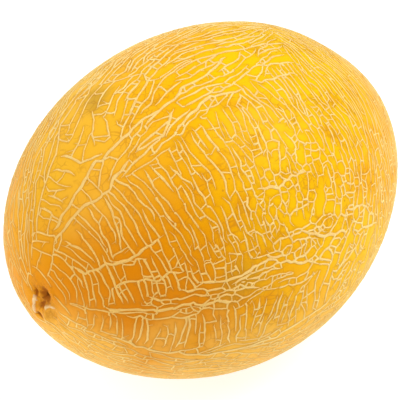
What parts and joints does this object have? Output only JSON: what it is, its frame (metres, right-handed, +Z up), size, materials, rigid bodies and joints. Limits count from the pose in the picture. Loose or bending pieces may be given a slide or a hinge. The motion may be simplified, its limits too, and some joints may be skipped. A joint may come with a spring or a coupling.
{
  "type": "netted melon",
  "caption": "Whole oval yellow melon with a corky netted rind, lying on its side on a small flat spot, with a stem scar.",
  "frame": {"origin": "on the resting spot's plane, below the middle of the fruit's box", "axes": "+X along the fruit's length, from the stem end to the blossom end, and +Z up"},
  "size_m": [0.2112, 0.1574, 0.1505],
  "materials": {
    "rind": "satin, waxy yellow rind with cream corky netting"
  },
  "bodies": {
    "root": {"melon": "rind"}
  },
  "joints": []
}
